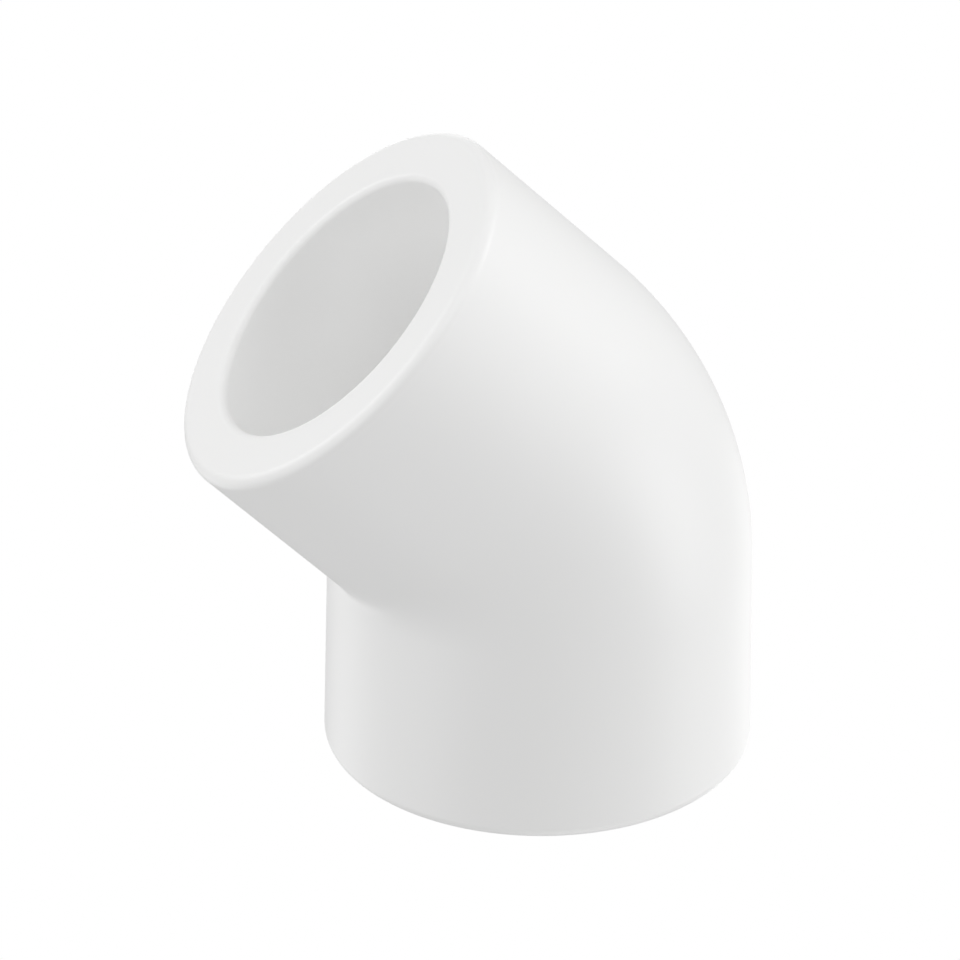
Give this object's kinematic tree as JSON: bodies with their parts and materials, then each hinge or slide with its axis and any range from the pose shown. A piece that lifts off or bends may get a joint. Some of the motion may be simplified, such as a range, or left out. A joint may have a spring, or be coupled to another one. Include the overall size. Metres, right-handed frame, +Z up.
{
  "type": "45-degree pvc pipe elbow",
  "caption": "Plain 45-degree socket elbow, moulded in one piece from white PVC, joining two pressure pipes by cement.",
  "frame": {"origin": "middle of the underside of the elbow's bounding box, in the plane of the lower mouth, which it stands on", "axes": "+Z up along the lower socket's axis; the upper socket leans from it towards -X at 45 degrees; Y is square to the plane that holds both axes"},
  "size_m": [0.0472, 0.0354, 0.0541],
  "materials": {
    "white_pvc": "smooth moulded, satin"
  },
  "bodies": {
    "root": {"elbow_body": "white_pvc"}
  },
  "joints": []
}
